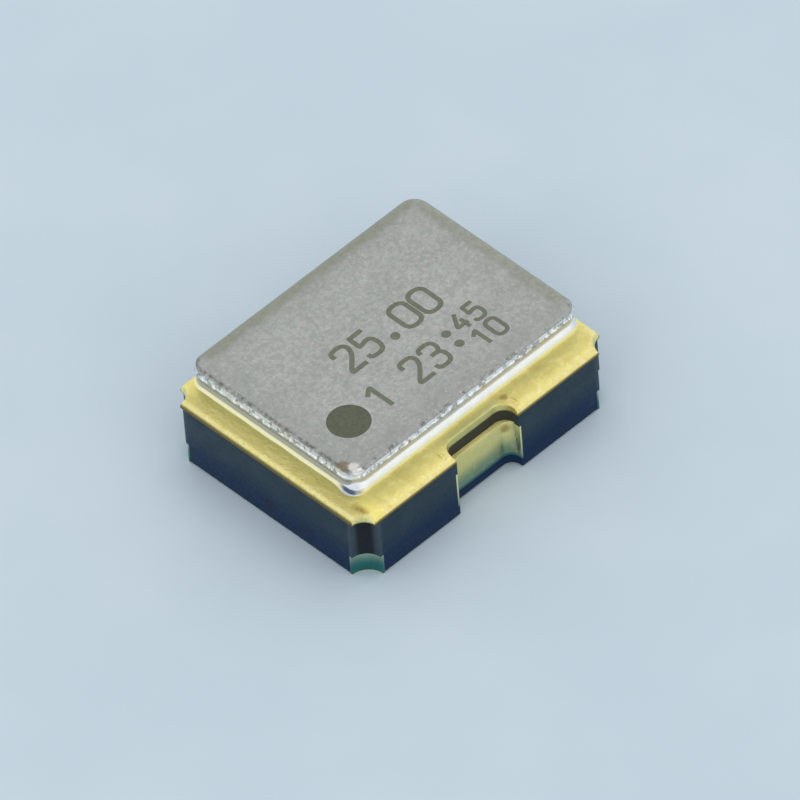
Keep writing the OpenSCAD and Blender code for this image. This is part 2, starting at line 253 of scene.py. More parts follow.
def lid_zones(g):
    """Depth in plan and rise over the lid's foot, in mm, and shares from 0 to 1 of each zone of its looks."""
    zone = SimpleNamespace()
    zone.depth = g.inset(LID_MID, LID_HALF, LID_R)
    zone.rise = g.over("Z", LID_LOW.z)
    # Weld along the left side, and along both that side and the front
    zone.left = g.fade(g.over("X", LID_LOW.x), WELD_STRIP, WELD_STRIP / 2)
    front = g.fade(g.over("Y", LID_LOW.y), WELD_STRIP, WELD_STRIP / 2)
    zone.weld = g.math("MAXIMUM", zone.left, front)
    # Band of heat along the two back edges
    ragged = g.math("ADD", zone.depth, g.fade(g.noise(9.0, 3.0), 0.35, 0.65, -0.01, 0.01))
    zone.heat = g.times(g.fade(ragged, 0.12, 0.06), g.math("SUBTRACT", 1.0, zone.weld))
    # Burnt spots behind the melted beads, fewer along the front
    lowest = g.fade(zone.left, 0.0, 1.0, 0.5, 0.38)
    highest = g.fade(zone.left, 0.0, 1.0, 0.68, 0.6)
    burnt = g.fade(g.noise(24.0, 3.0, 0.6), lowest, highest)
    zone.spots = g.times(zone.weld, g.band(zone.depth, 0.02, PIT_INSET, 0.014), burnt)
    zone.track = g.times(zone.weld, g.band(zone.rise, TRACK_LOW, TRACK_HIGH, 0.004))
    zone.melted = g.fade(g.noise(30.0, 2.0, 0.6), 0.38, 0.52)
    # Underside of the beads, and the wall of the lid under them
    row = g.fade(zone.left, 0.0, 1.0, FRONT_ROW - 0.002, LEFT_ROW - 0.001)
    zone.flank = g.times(zone.weld, g.fade(g.math("SUBTRACT", zone.rise, row), 0.001, -0.007))
    zone.wall = g.fade(zone.rise, WALL_TOP + 0.005, WALL_TOP - 0.005)
    # Burn at the front corner, with two glints beside it
    corner = Vector((LID_LOW.x, LID_LOW.y, LID_HIGH.z))
    zone.burn = g.near(corner + Vector((0.05, 0.12, 0)), 0.055, 1.6)
    glints = g.math("MAXIMUM", g.near(corner + Vector((0.075, 0.075, 0)), 0.044, 1.4),
                    g.near(corner + Vector((0.066, 0.035, -0.01)), 0.05, 1.4))
    zone.glint = g.times(glints, g.fade(g.noise(50.0, 2.0, 0.6), 0.34, 0.44, 0.5, 1.0))
    return zone


def blasted_nickel(g, zone, grain):
    """Plain skin of the lid, speckled, and a little darker towards its edge."""
    colour = g.mix(g.fade(g.noise(4.0, 3.0), 0.35, 0.65), rgb(184, 188, 184), rgb(195, 198, 194))
    colour = g.mix(g.fade(g.noise(22.0, 2.0), 0.38, 0.62, 0.0, 0.4), colour, rgb(202, 192, 191))
    colour = g.mix(g.fade(grain, 0.62, 0.38, 0.0, 0.5), colour, rgb(150, 154, 151))
    colour = g.mix(g.fade(zone.depth, 0.3, 0.03, 0.0, 0.35), colour, rgb(160, 163, 160))
    return g.mix(g.fade(g.noise(44.0, 2.0, 0.6), 0.56, 0.74, 0.0, 0.5), colour, rgb(214, 212, 210))


def heat_tone(g, grain):
    """Smooth brown-grey of the heat, lighter along the right edge."""
    right = g.fade(g.over("X", LID_HIGH.x), -0.12, -0.05)
    tone = g.mix(right, rgb(162, 164, 150), rgb(174, 177, 165))
    return g.mix(g.fade(grain, 0.6, 0.4, 0.0, 0.5), tone, rgb(142, 145, 130))


def weld_marks(g, zone, colour):
    """Burnt spots, melted beads whitened partly by painted glints, the burn, and painted glints over the
    colour of the lid.
    """
    colour = g.mix(zone.spots, colour, rgb(98, 92, 80))
    # White of the melted beads: partly their shine, partly painted glints
    beads = g.mix(zone.melted, rgb(182, 182, 180), rgb(255, 255, 255))
    colour = g.mix(g.times(zone.track, 0.9), colour, beads)
    colour = g.mix(g.times(zone.burn, 0.6), colour, rgb(132, 104, 62))
    # Painted glints beside the burn
    colour = g.mix(zone.glint, colour, rgb(236, 233, 230))
    # The underside of the beads mirrors the ring, so it is toned down
    return g.mix(zone.flank, colour, rgb(184, 190, 204))


def wall_tone(g, zone):
    """Wall of the lid under its weld, all painted light: a bright painted reflection along the front but for
    painted shade in its crease, and a blue-grey painted reflection with a band of painted shade on the left.
    """
    # Painted reflection: bright along the front, blue-grey on the left
    lit_front = g.fade(g.over("Y", LID_LOW.y), 0.07, 0.02)
    # Painted shade in a band on the left wall
    shade = g.band(zone.rise, SHADE_LOW, SHADE_HIGH, 0.004)
    dull = g.mix(g.times(shade, 0.6), rgb(182, 188, 206), rgb(114, 122, 142))
    # Painted shade in the crease along the front
    crease = g.times(lit_front, g.band(zone.rise, CREASE_LOW, TRACK_LOW, 0.004))
    return g.mix(g.times(crease, 0.8), g.mix(lit_front, dull, rgb(252, 251, 248)), rgb(190, 194, 204))


def lid_metal():
    """Bead-blasted nickel, with a weld track that is rough and spotted along the two front edges."""
    g = Graph("lid_metal", metallic=1.0)
    zone = lid_zones(g)
    grain = g.noise(34.0, 4.0, 0.7)
    colour = blasted_nickel(g, zone, grain)
    colour = g.mix(g.times(zone.heat, 0.85), colour, heat_tone(g, grain))
    colour = weld_marks(g, zone, colour)
    # Painted light and shade on the wall under the weld
    colour = g.mix(g.times(zone.wall, zone.weld), colour, wall_tone(g, zone))
    polish = g.math("MAXIMUM", g.times(zone.track, zone.melted), zone.glint)
    rough = g.math("SUBTRACT", g.fade(grain, 0.3, 0.7, 0.42, 0.54), g.times(polish, 0.28))
    rough = g.math("SUBTRACT", rough, g.times(zone.wall, 0.12), clamp=True)
    # Less metallic where it would mirror the gold of the ring
    shine = g.math("SUBTRACT", 1.0, g.times(zone.weld, g.math("MAXIMUM", zone.wall, zone.flank), 0.6))
    pitted = g.times(g.noise(38.0, 2.0, 0.5), g.math("MAXIMUM", zone.track, zone.spots))
    relief = g.bump(grain, 0.0025, 0.6)
    relief = g.bump(g.noise(110.0, 2.0, 0.6), 0.0012, 0.6, relief)
    relief = g.bump(pitted, 0.005, 0.5, relief)
    return g.finish(base_color=colour, metallic=shine, roughness=rough, normal=relief)


def ring_stains(g, colour):
    """Faint streaks, and brown stains at the front corner and by the front slot."""
    streak = g.noise(9.0, 3.0, stretch=(1.0, 0.4, 1.0))
    colour = g.mix(g.fade(streak, 0.5, 0.75, 0.0, 0.35), colour, rgb(206, 184, 104))
    for x, y, reach, share, tone in ((0.127 - HALF_L, 0.136 - HALF_W, 0.075, 0.7, rgb(160, 128, 50)),
                                     (0.11 - HALF_L, 0.105 - HALF_W, 0.05, 0.85, rgb(132, 90, 28)),
                                     (SLOT_L / 2 + 0.02, 0.136 - HALF_W, 0.035, 0.6, rgb(160, 122, 50))):
        colour = g.mix(g.times(g.near((x, y, RING_HIGH.z), reach, 0.9), share), colour, tone)
    return colour


def ring_shades(g, depth, colour):
    """Painted light and shade round the ring, and a darker left side."""
    # Painted shade with a green reflection behind the front slot
    abreast = g.fade(g.aside("X"), SLOT_L / 2 + 0.01, SLOT_L / 2 - 0.11)
    behind = g.fade(g.over("Y", RING_LOW.y), SLOT_D + 0.07, SLOT_D + 0.03)
    colour = g.mix(g.times(abreast, behind, 0.5), colour, rgb(190, 190, 134))
    # Darker on the left, but for a painted highlight in a line by the lid
    left = g.times(g.fade(g.over("X", RING_LOW.x), 0.11, 0.05), g.fade(depth, 0.02, 0.04))
    colour = g.mix(g.times(left, 0.5), colour, rgb(208, 196, 122))
    to_lid = g.fade(g.axis("X"), RING_LOW.x + 0.08, LID_LOW.x)
    highlight_by_lid = g.times(to_lid, g.fade(g.over("X", LID_LOW.x), 0.1, 0.0))
    colour = g.mix(highlight_by_lid, colour, rgb(255, 240, 142))
    # Painted shade: the side falls off to brown at its foot
    foot = g.math("MAXIMUM", g.fade(depth, 0.008, 0.0), g.fade(g.over("Z", RING_LOW.z), 0.012, 0.0))
    return g.mix(foot, colour, rgb(136, 112, 56))


def ring_gold():
    """Gold plate over nickel: orange-peel skin, a painted highlight along the rim, stained at a few places.
    """
    g = Graph("ring_gold", metallic=1.0)
    mottle = g.noise(20.0, 3.0, 0.6)
    colour = g.mix(g.fade(g.noise(4.0, 3.0), 0.35, 0.65), rgb(232, 219, 134), rgb(240, 226, 142))
    colour = g.mix(g.fade(mottle, 0.45, 0.7), colour, rgb(248, 234, 152))
    # Painted highlight on the rim along the sides, and on the lip round the corner notches
    depth = g.inset(Vector((0, 0)), Vector((HALF_L, HALF_W)), 0.02)
    side = g.fade(depth, 0.075, 0.02)
    colour = g.mix(g.times(side, 0.8), colour, rgb(255, 240, 160))
    lip = g.fade(g.from_corner()[0], RING_NOTCH_R + 0.045, RING_NOTCH_R + 0.015)
    colour = g.mix(g.times(lip, 0.7), colour, rgb(255, 244, 170))
    rim = g.math("MAXIMUM", side, lip)
    # Painted sparkle: light and dark flecks on the rim
    fleck = g.noise(34.0, 3.0, 0.65)
    colour = g.mix(g.times(rim, g.fade(fleck, 0.55, 0.68)), colour, rgb(255, 248, 200))
    colour = g.mix(g.times(rim, g.fade(fleck, 0.45, 0.32, 0.0, 0.7)), colour, rgb(232, 208, 122))
    colour = ring_stains(g, colour)
    colour = ring_shades(g, depth, colour)
    rough = g.fade(mottle, 0.3, 0.7, 0.4, 0.28)
    sparkle = g.times(g.math("SUBTRACT", g.noise(55.0, 3.0, 0.6), 0.5), g.fade(rim, 0.0, 1.0, 0.3, 1.0))
    relief = g.bump(sparkle, 0.008, 0.8, g.bump(mottle, 0.005, 0.6))
    return g.finish(base_color=colour, roughness=rough, normal=relief)


def plating_gold():
    """Thin gold in the notches and slots, with a painted reflection and shade that make it darker, greener
    and teal towards the foot, but plain underneath.
    """
    g = Graph("plating_gold", metallic=1.0)
    height, aside = g.axis("Z"), g.aside("X")
    streak = g.noise(26.0, 3.0, 0.6, stretch=(1.0, 1.0, 0.4))
    colour = g.mix(g.fade(g.noise(8.0, 3.0), 0.3, 0.7), rgb(236, 224, 148), rgb(246, 234, 158))
    # Painted reflection and shade: greener low down
    upright = g.fade(height, 0.001, 0.006)
    colour = g.mix(g.times(g.fade(height, 0.26, 0.12, 0.0, 0.85), upright), colour, rgb(118, 158, 138))
    colour = g.mix(g.fade(streak, 0.55, 0.75, 0.0, 0.35), colour, rgb(240, 232, 168))
    # Painted reflection and shade: teal at the foot of the slots and all over the corner notches
    corner = g.times(g.fade(aside, 0.5, 0.6), g.fade(height, 0.24, 0.12))
    teal_reflection = g.times(g.math("MAXIMUM", g.fade(height, 0.105, 0.085), corner), upright)
    colour = g.mix(teal_reflection, colour, g.mix(streak, rgb(48, 120, 120), rgb(82, 146, 140)))
    # A stain by one end of each slot, and a painted highlight on the ends of its lining
    for side in (-1, 1):
        stain = (SLOT_L / 2 - 0.035, side * (HALF_W - SLOT_D + 0.03), CONTACT_TOP - 0.05)
        colour = g.mix(g.times(g.near(stain, 0.05), 0.65), colour, rgb(166, 122, 52))
    edge = g.fade(aside, SLOT_L / 2 - 0.008, SLOT_L / 2 + 0.002)
    colour = g.mix(g.times(edge, g.fade(height, 0.05, 0.2), 0.6), colour, rgb(250, 244, 206))
    # The thin top edge is dull
    lip = g.fade(g.over("Z", CONTACT_TOP), -0.008, -0.003)
    rough = g.math("ADD", g.fade(streak, 0.3, 0.7, 0.36, 0.26), g.times(lip, 0.4))
    shine = g.math("SUBTRACT", 1.0, g.times(lip, 0.75))
    return g.finish(base_color=colour, metallic=shine, roughness=rough, normal=g.bump(streak, 0.002, 0.5))


def braze_silver():
    """Silver-copper braze, gold where its thin foot has taken up the plating of the ring."""
    g = Graph("braze_silver", metallic=1.0)
    flow = g.noise(16.0, 4.0, 0.6)
    rise = g.math("ADD", g.over("Z", BRAZE_FOOT), g.fade(flow, 0.3, 0.7, -0.001, 0.001))
    left = g.fade(g.over("X", LID_LOW.x), 0.03, 0.0)
    silver = g.mix(left, rgb(254, 253, 252), rgb(244, 240, 206))
    reach = g.fade(left, 0.0, 1.0, 0.045, 0.018)
    colour = g.mix(g.fade(rise, 0.0, reach), rgb(255, 250, 204), silver)
    # Painted reflection on the blob at the front corner: a dark band between light blue-grey
    blob = g.near((BLOB.x, BLOB.y, BRAZE_FOOT), 0.1, 0.4)
    blob_reflection = g.mix(g.band(rise, 0.006, 0.026, 0.004), rgb(214, 222, 232), rgb(84, 98, 116))
    colour = g.mix(blob, colour, blob_reflection)
    rough = g.math("SUBTRACT", g.fade(rise, 0.0, 0.03, 0.4, 0.24), g.times(blob, 0.1))
    return g.finish(base_color=colour, roughness=rough, normal=g.bump(flow, 0.003, 0.5))


def ceramic_recesses(g, colour):
    """Painted highlight and shade of the corner notches, and the brown wall of the slots."""
    # Painted highlight on the edges of the corner notches, and painted shade in their hollow
    away, gap = g.from_corner()
    colour = g.mix(g.fade(away, NOTCH_R + 0.035, NOTCH_R + 0.006, 0.0, 0.45), colour, rgb(78, 90, 100))
    turn = g.math("ABSOLUTE", g.math("SUBTRACT", gap[0], gap[1]))
    hollow = g.times(g.fade(away, NOTCH_R + 0.005, NOTCH_R + 0.001), g.fade(turn, 0.1, 0.045))
    colour = g.mix(g.times(hollow, 0.9), colour, rgb(8, 14, 22))
    # Brown wall of the slots over their plating
    slot = g.fade(g.aside("X"), SLOT_L / 2 + 0.005, SLOT_L / 2 - 0.005)
    inside = g.fade(g.aside("Y"), HALF_W - 0.004, HALF_W - 0.02)
    return g.mix(g.times(slot, g.fade(g.axis("Z"), 0.3, 0.34), inside), colour, rgb(58, 56, 44))


def ceramic():
    """Dark alumina, with a fine sintered grain, and a painted blue reflection and shade that make its foot
    darker and bluer.
    """
    g = Graph("ceramic", specular_ior_level=0.22)
    grain = g.noise(52.0, 4.0, 0.7)
    colour = g.mix(g.fade(g.noise(5.0, 3.0), 0.3, 0.7), rgb(34, 54, 66), rgb(42, 62, 74))
    # Painted blue reflection and shade near the floor: darker and bluer towards the foot
    colour = g.mix(g.fade(g.axis("Z"), 0.32, 0.1), colour, rgb(3, 38, 72))
    colour = g.mix(g.fade(grain, 0.6, 0.75, 0.0, 0.5), colour, rgb(58, 72, 82))
    # Two dark spots on the left side
    for y in (0.0, -0.31):
        colour = g.mix(g.times(g.near((PACK_LOW.x, y, 0.11), 0.07), 0.35), colour, rgb(4, 14, 28))
    colour = ceramic_recesses(g, colour)
    rough = g.fade(grain, 0.3, 0.7, 0.45, 0.62)
    return g.finish(base_color=colour, roughness=rough, normal=g.bump(grain, 0.002, 0.5))


def marking(name, tone):
    """Laser marking: dull oxide that is a little uneven."""
    g = Graph(name, specular_ior_level=0.2)
    grain = g.noise(50.0, 3.0, 0.7)
    dark, light = rgb(tone, tone + 4, tone - 12), rgb(tone + 12, tone + 16, tone)
    return g.finish(base_color=g.mix(g.fade(grain, 0.35, 0.65), dark, light),
                    roughness=g.fade(grain, 0.3, 0.7, 0.55, 0.75), normal=g.bump(grain, 0.002, 0.4))


def plain_metal(name, dark, light, rough, scale=30.0):
    """Metal with a fine, even grain."""
    g = Graph(name, metallic=1.0)
    grain = g.noise(scale, 4.0, 0.6)
    return g.finish(base_color=g.mix(g.fade(grain, 0.35, 0.65), dark, light),
                    roughness=g.fade(grain, 0.3, 0.7, rough, rough + 0.15), normal=g.bump(grain, 0.002, 0.4))


def adhesive():
    """Epoxy filled with silver flakes."""
    g = Graph("adhesive", metallic=0.6)
    flakes = 90.0
    tone = g.node("ShaderNodeSeparateColor", inputs=((0, g.cells(flakes)),))
    colour = g.mix(g.fade(tone, 0.3, 0.8), rgb(150, 150, 144), rgb(205, 205, 198))
    return g.finish(base_color=colour, roughness=g.fade(g.noise(60.0), 0.3, 0.7, 0.35, 0.55),
                    normal=g.bump(g.cells(flakes, "Distance"), 0.002, 0.4))


def quartz():
    """Clear crystal with a slight haze."""
    g = Graph("quartz", transmission_weight=0.9, ior=1.54)
    haze = g.noise(14.0, 3.0)
    colour = g.mix(g.fade(haze, 0.3, 0.7), rgb(232, 240, 242), rgb(246, 250, 250))
    return g.finish(base_color=colour, roughness=g.fade(haze, 0.3, 0.7, 0.04, 0.12),
                    normal=g.bump(haze, 0.001, 0.2))


def silicon():
    """Back of a die, with the marks of its grinding."""
    g = Graph("silicon", metallic=0.35)
    grind = g.noise(26.0, 3.0, 0.6, stretch=(0.15, 1.0, 1.0))
    colour = g.mix(g.fade(grind, 0.3, 0.7), rgb(84, 92, 104), rgb(104, 112, 124))
    return g.finish(base_color=colour, roughness=g.fade(grind, 0.3, 0.7, 0.14, 0.26),
                    normal=g.bump(grind, 0.001, 0.3))


# ---- Meshes ----

def add_object(name, data):
    """Puts an object into the scene."""
    made = bpy.data.objects.new(name, data)
    bpy.context.collection.objects.link(made)
    return made


def add_piece(name, mesh, material, smooth, crease):
    """A piece that rides on the body: smooth is True or False for each face, crease an angle in degrees."""
    mesh.polygons.foreach_set("use_smooth", smooth)
    mesh.set_sharp_from_angle(angle=math.radians(crease))
    mesh.materials.clear()
    mesh.materials.append(material)
    piece = add_object(name, mesh)
    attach(piece, "root")
    return piece


def mesh_piece(name, points, faces, material, smooth=True):
    """A piece from points in mm, with points that coincide made one."""
    mesh = bpy.data.meshes.new(name)
    mesh.from_pydata([Vector(p) * MM for p in points], [], faces)
    work = bmesh.new()
    work.from_mesh(mesh)
    bmesh.ops.remove_doubles(work, verts=work.verts, dist=1e-5 * MM)
    bmesh.ops.recalc_face_normals(work, faces=work.faces)
    work.to_mesh(mesh)
    work.free()
    return add_piece(name, mesh, material, [smooth] * len(mesh.polygons), 60)


def softened(node, width, material):
    """Puts a copy of a CAD node with its sharp edges rounded in place of it."""
    mesh = frame["nodes"][node].data.copy()
    mesh.name = node + "_soft"
    work = bmesh.new()
    work.from_mesh(mesh)
    bmesh.ops.remove_doubles(work, verts=work.verts, dist=1e-4 * MM)
    bmesh.ops.dissolve_limit(work, angle_limit=math.radians(1), verts=work.verts, edges=work.edges)
    sharp = [e for e in work.edges if e.calc_face_angle(0) > math.radians(40)]
    bmesh.ops.bevel(work, geom=sharp, offset=width * MM, segments=3, profile=0.5, affect="EDGES",
                    clamp_overlap=True)
    work.to_mesh(mesh)
    work.free()
    smooth = [face.area < PLAIN_AREA * MM ** 2 for face in mesh.polygons]
    piece = add_piece(mesh.name, mesh, material, smooth, 35)
    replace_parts(piece, node)


def loft(rings, closed=False, start=0):
    """Faces of a skin through rings of equal counts, with both ends closed or open."""
    count = len(rings[0])
    faces = []
    for k in range(len(rings) - 1):
        for i in range(count):
            j = (i + 1) % count
            a, b = start + k * count, start + (k + 1) * count
            faces.append((a + i, a + j, b + j, b + i))
    if closed:
        faces.append(tuple(start + i for i in reversed(range(count))))
        faces.append(tuple(start + (len(rings) - 1) * count + i for i in range(count)))
    return faces


def flatten(rings):
    """All the points of the rings, one ring after another."""
    return [p for ring in rings for p in ring]


def skin_piece(name, columns, material):
    """A closed piece from columns of points that stand side by side round it."""
    rings = list(zip(*columns))
    return mesh_piece(name, flatten(rings), loft(rings, closed=True), material)


def arc(centre, radius, start, end, count):
    """count points on an arc in plan, ends included, angles in degrees."""
    made = []
    for k in range(count):
        a = math.radians(start + (end - start) * k / (count - 1))
        made.append((centre[0] + radius * math.cos(a), centre[1] + radius * math.sin(a)))
    return made


def line(a, b, count):
    """count points from a towards b, without b."""
    return [(a[0] + (b[0] - a[0]) * k / count, a[1] + (b[1] - a[1]) * k / count) for k in range(count)]


def rounded_outline(half, radius, per_arc=12, per_side=(220, 160)):
    """Closed outline of a rounded rectangle round its middle, counterclockwise from the corner +X, -Y.

    per_arc and per_side are the counts of points: in each corner, and along a long and a short side.
    """
    ends = []
    for sx, sy, turn in ((1, -1, -90), (1, 1, 0), (-1, 1, 90), (-1, -1, 180)):
        centre = (sx * (half.x - radius), sy * (half.y - radius))
        ends.append(arc(centre, radius, turn, turn + 90, per_arc))
    made = []
    for k, points in enumerate(ends):
        made += points[:-1]
        made += line(points[-1], ends[(k + 1) % 4][0], per_side[(k + 1) % 2])
    return made


def ring_outline(inset, slot_inset, sides=60):
    """Closed outline of the ring, moved in by inset, and by slot_inset in its slots."""
    half_l, half_w = HALF_L - inset, HALF_W - inset
    notch = RING_NOTCH_R + inset
    reach = math.sqrt(notch ** 2 - inset ** 2)
    turn = math.degrees(math.asin(inset / notch))
    slot_half, slot_y = SLOT_L / 2 + slot_inset, HALF_W - SLOT_D - slot_inset
    curve = SLOT_R + slot_inset
    made = []
    for way in (1, -1):
        # From a slot to the next corner, round it, along the short side and round the corner after it
        run = line((slot_half, -half_w), (HALF_L - reach, -half_w), sides)
        run += arc((HALF_L, -HALF_W), notch, 180 - turn, 90 + turn, 16)[:-1]
        run += line((half_l, -HALF_W + reach), (half_l, HALF_W - reach), 2 * sides)
        run += arc((HALF_L, HALF_W), notch, 270 - turn, 180 + turn, 16)[:-1]
        run += line((HALF_L - reach, half_w), (slot_half, half_w), sides)
        # Then round the slot in the other long side
        run += line((slot_half, half_w), (slot_half, slot_y + curve), 3)
        run += arc((slot_half - curve, slot_y + curve), curve, 0, -90, 10)[:-1]
        run += line((slot_half - curve, slot_y), (curve - slot_half, slot_y), sides)
        run += arc((curve - slot_half, slot_y + curve), curve, -90, -180, 10)[:-1]
        run += line((-slot_half, slot_y + curve), (-slot_half, half_w), 3)
        made += [(way * x, way * y) for x, y in run]
    return made


def raise_to(outline, z):
    """An outline in plan, put at a height."""
    return [(x, y, z) for x, y in outline]


def crown(point):
    """The point lowered by the gentle fall of the ring's front strip."""
    x, y, z = point
    share = CROWN_FALL * max(0.0, 1 - (y + HALF_W) / CROWN_DEPTH) ** 3
    return (x, y, z - share * (z - RING_LOW.z) / (RING_HIGH.z - RING_LOW.z))


def ring_sides():
    """Outlines from the foot of the ring, up over its rolled rim and in over its crown."""
    rim_steps, crown_steps = 9, 8
    rings = []
    for k in range(rim_steps + 1):
        a = math.radians(90 * k / rim_steps)
        inset = RIM_DEPTH * (1 - math.cos(a))
        z = RING_HIGH.z - RIM_HEIGHT * (1 - math.sin(a))
        rings.append(raise_to(ring_outline(inset, SLOT_RIM * inset), z))
    for k in range(1, crown_steps + 1):
        beyond = (CROWN_DEPTH - RIM_DEPTH) * k / crown_steps
        slot_inset = SLOT_RIM * RIM_DEPTH + SLOT_CROWN * beyond
        rings.append(raise_to(ring_outline(RIM_DEPTH + beyond, slot_inset), RING_HIGH.z))
    return [raise_to(ring_outline(0, 0), RING_LOW.z)] + [[crown(p) for p in ring] for ring in rings]


def flat_round(inner, outer):
    """Points in plan and faces of a flat between the opening of the ring and an outline round it."""
    count = len(outer)
    edges = [(i, (i + 1) % count) for i in range(count)]
    edges += [(count + i, count + (i + 1) % len(inner)) for i in range(len(inner))]
    plan = [Vector(p[:2]) for p in outer] + [Vector(p) for p in inner]
    found = geometry.delaunay_2d_cdt(plan, edges, [], 1, 1e-7)
    faces = []
    # A face over the opening has its middle within it
    for face in found[2]:
        middle = sum((found[0][i] for i in face), Vector((0, 0))) / len(face)
        if abs(middle.x) > OPENING.x or abs(middle.y) > OPENING.y:
            faces.append(face)
    return found[0], faces


def build_ring(material):
    """Seal ring with a rolled outer rim; the slots have a tighter one."""
    rings = ring_sides()
    inner = rounded_outline(OPENING, OPENING_R, 8, (40, 30))
    faces = loft(rings)
    points = flatten(rings)
    faces += loft([inner, inner], start=len(points))
    points += raise_to(inner, RING_LOW.z) + raise_to(inner, RING_HIGH.z)
    for outer, z in ((rings[-1], RING_HIGH.z), (rings[0], RING_LOW.z)):
        plan, found = flat_round(inner, outer)
        faces += [tuple(len(points) + i for i in face) for face in found]
        points += raise_to(plan, z)
    return mesh_piece("ring_plate", points, faces, material)


def kept_in(point, low, high):
    """The point, moved into a box if it is outside."""
    return Vector([max(a, min(b, v)) for v, a, b in zip(point, low, high)])


def side_of(x, y):
    """Outward direction in plan at a point on the outline of the lid, taken from its middle."""
    limit = LID_HALF.xy - Vector((LID_R, LID_R))
    point = Vector((x, y))
    return (point - kept_in(point, -limit, limit)).normalized()


def soft_step(value, start, end):
    """0 up to start, 1 from end on, and smooth between."""
    t = max(0.0, min(1.0, (value - start) / (end - start)))
    return t * t * (3 - 2 * t)


def bell(value, middle, width):
    """1 where value is at the middle, falling away on both sides."""
    return math.exp(-((value - middle) / width) ** 2)


def lid_section(weld):
    """Depth, height and tilt of the points from the foot of the lid over its rolled edge onto its flat."""
    wall_steps, arc_steps, flat_steps = 20, 10, 4
    radius = EDGE_R + (WELD_EDGE_R - EDGE_R) * weld
    sink = WELD_SINK * weld
    top = LID_HIGH.z - TOP_SINK
    corner = top - radius
    section = [(sink, LID_LOW.z + (corner - LID_LOW.z) * k / wall_steps, 0.0) for k in range(wall_steps)]
    for k in range(arc_steps + 1):
        a = math.radians(90 * k / arc_steps)
        section.append((sink + radius - radius * math.cos(a), corner + radius * math.sin(a), a))
    section += [(sink + radius + FLAT_STEP * k, top, math.pi / 2) for k in range(1, flat_steps + 1)]
    return section


def welded(point, depth, out):
    """How far the weld pushes out a point of the lid's edge: a row of melted beads, and pits behind them."""
    if out.x < out.y:
        pitch, middle, along = LEFT_PITCH, LEFT_ROW, point.y
    else:
        pitch, middle, along = FRONT_PITCH, FRONT_ROW, point.x
    # Beads of uneven size, at an uneven pitch
    wave = 2 * math.pi * along / pitch + 3.0 * noise.noise(point * 6)
    bead = 0.75 + 0.2 * math.cos(wave) + 0.35 * noise.noise(point * 26)
    row = bell(point.z - LID_LOW.z, middle, BEAD_SPREAD)
    pit = bell(depth, PIT_INSET, BEAD_SPREAD) * max(0.0, noise.noise(point * 24 + Vector((7, 0, 0))))
    return WELD_SINK * bead * row - PIT_DEPTH * pit


def build_lid(material):
    """Lid with a rolled edge; along its two front sides a crease and a track of melted beads."""
    columns = []
    for x, y in rounded_outline(LID_HALF, LID_R):
        out = side_of(x, y)
        # The weld fades out round the two corners where it ends
        weld = max(soft_step(-out.x, 0.15, 0.75), soft_step(-out.y, 0.15, 0.75))
        column = []
        for depth, z, tilt in lid_section(weld):
            point = Vector((x + LID_MID.x - out.x * depth, y + LID_MID.y - out.y * depth, z))
            push = weld * welded(point, depth, out)
            point += Vector((out.x * math.cos(tilt), out.y * math.cos(tilt), math.sin(tilt))) * push
            column.append(kept_in(point, LID_LOW, LID_HIGH))
        columns.append(column)
    return skin_piece("lid_cover", columns, material)


def build_braze(material):
    """Braze that wets the ring along the foot of the lid; it climbs highest along the front."""
    steps = 12
    limit = Vector((HALF_L - RIM_DEPTH, HALF_W - RIM_DEPTH))
    columns = []
    for x, y in rounded_outline(LID_HALF, LID_R, 16, (160, 120)):
        out = side_of(x, y)
        place = Vector((x, y)) + LID_MID.xy
        front = soft_step(-out.y, 0.3, 0.9)
        corner = bell((place - BLOB).length, 0.0, BLOB_REACH)
        flow = noise.noise(Vector((x, y, 0)) * 9)
        height = BRAZE_HEIGHT + FRONT_HEIGHT * front + BLOB_HEIGHT * corner + HEIGHT_FLOW * flow
        spread = BRAZE_SPREAD + FRONT_SPREAD * front + BLOB_SPREAD * corner + SPREAD_FLOW * flow
        column = []
        for k in range(steps + 1):
            # A hollow fillet, nearly straight along the front
            t = k / steps
            hollow = (1 - front) * (1 - math.cos(t * math.pi / 2)) + front * (0.85 * t + 0.15 * t * t)
            away = spread * (1 - t ** (1 + 0.3 * front)) - WELD_SINK - BRAZE_LAP
            column.append((min(place.x + out.x * away, limit.x), min(place.y + out.y * away, limit.y),
                           BRAZE_FOOT + height * hollow))
        columns.append(column)
    return skin_piece("lid_braze", columns, material)


# ---- Marking: an orientation dot and plain numbers ----

# Strokes of each digit: points in a cell of 1 by 1, and whether the stroke is closed
DIGITS = {
    "0": [([(0, 0), (1, 0), (1, 0.5), (1, 1), (0, 1), (0, 0.5)], True)],
    "1": [([(0.1, 0.75), (0.6, 1.0), (0.6, 0.9), (0.6, 0)], False)],
    "2": [([(0, 0.74), (0, 1), (1, 1), (1, 0.6), (0, 0.08), (0, 0), (0.1, 0), (1, 0)], False)],
    "3": [([(0, 0.8), (0, 1), (1, 1), (1, 0.54), (0.3, 0.54)], False),
          ([(0.35, 0.54), (1, 0.54), (1, 0), (0, 0), (0, 0.2)], False)],
    "4": [([(0.72, 1), (0, 0.36), (0, 0.3), (0.1, 0.3), (1, 0.3)], False),
          ([(0.72, 0.62), (0.72, 0)], False)],
    "5": [([(1, 1), (0.12, 1), (0.1, 1), (0.1, 0.95), (0.08, 0.58), (0.1, 0.56), (1, 0.66), (1, 0),
            (0, 0), (0, 0.18)], False)]}

